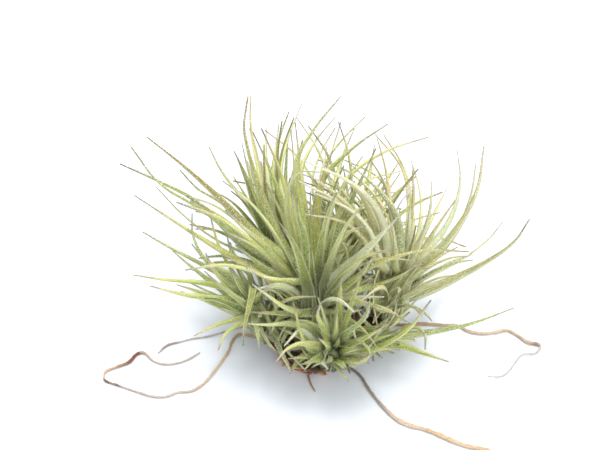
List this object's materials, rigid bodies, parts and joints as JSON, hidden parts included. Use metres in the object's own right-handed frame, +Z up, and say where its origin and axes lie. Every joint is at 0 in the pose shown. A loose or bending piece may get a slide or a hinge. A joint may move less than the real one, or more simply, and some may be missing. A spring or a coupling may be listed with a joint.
{
  "type": "ionantha air plant clump",
  "caption": "Clump of air plant rosettes with channelled, tapering silver-green leaves on a woody base, with wiry roots lying around it.",
  "frame": {"origin": "centre of the woody base's flat underside, on the surface that the plant rests on, below the main rosette", "axes": "+Z up, +X to the right and +Y away as the plant is seen from its front"},
  "size_m": [0.1357, 0.1251, 0.0842],
  "materials": {
    "leaf_green": "matte leaf with a fine coat of white scales",
    "leaf_silver": "matte leaf with a fine coat of white scales",
    "leaf_fresh": "matte leaf with a fine coat of white scales",
    "dry_sheath": "flaky dead sheaths",
    "root_bark": "dull wiry bark",
    "root_grey": "dull grey bark"
  },
  "bodies": {
    "root": {"woody_base": "dry_sheath", "rosette_main": "leaf_green", "rosette_right": "leaf_silver", "rosette_front": "leaf_fresh", "rosette_left": "leaf_green", "rosette_back_left": "leaf_green", "rosette_back_right": "leaf_green", "rosette_low_right": "leaf_fresh", "root_left": "root_bark", "root_left_thin": "root_bark", "root_right": "root_bark", "root_front": "root_bark", "root_small": "root_bark", "root_back": "root_grey"}
  },
  "joints": []
}
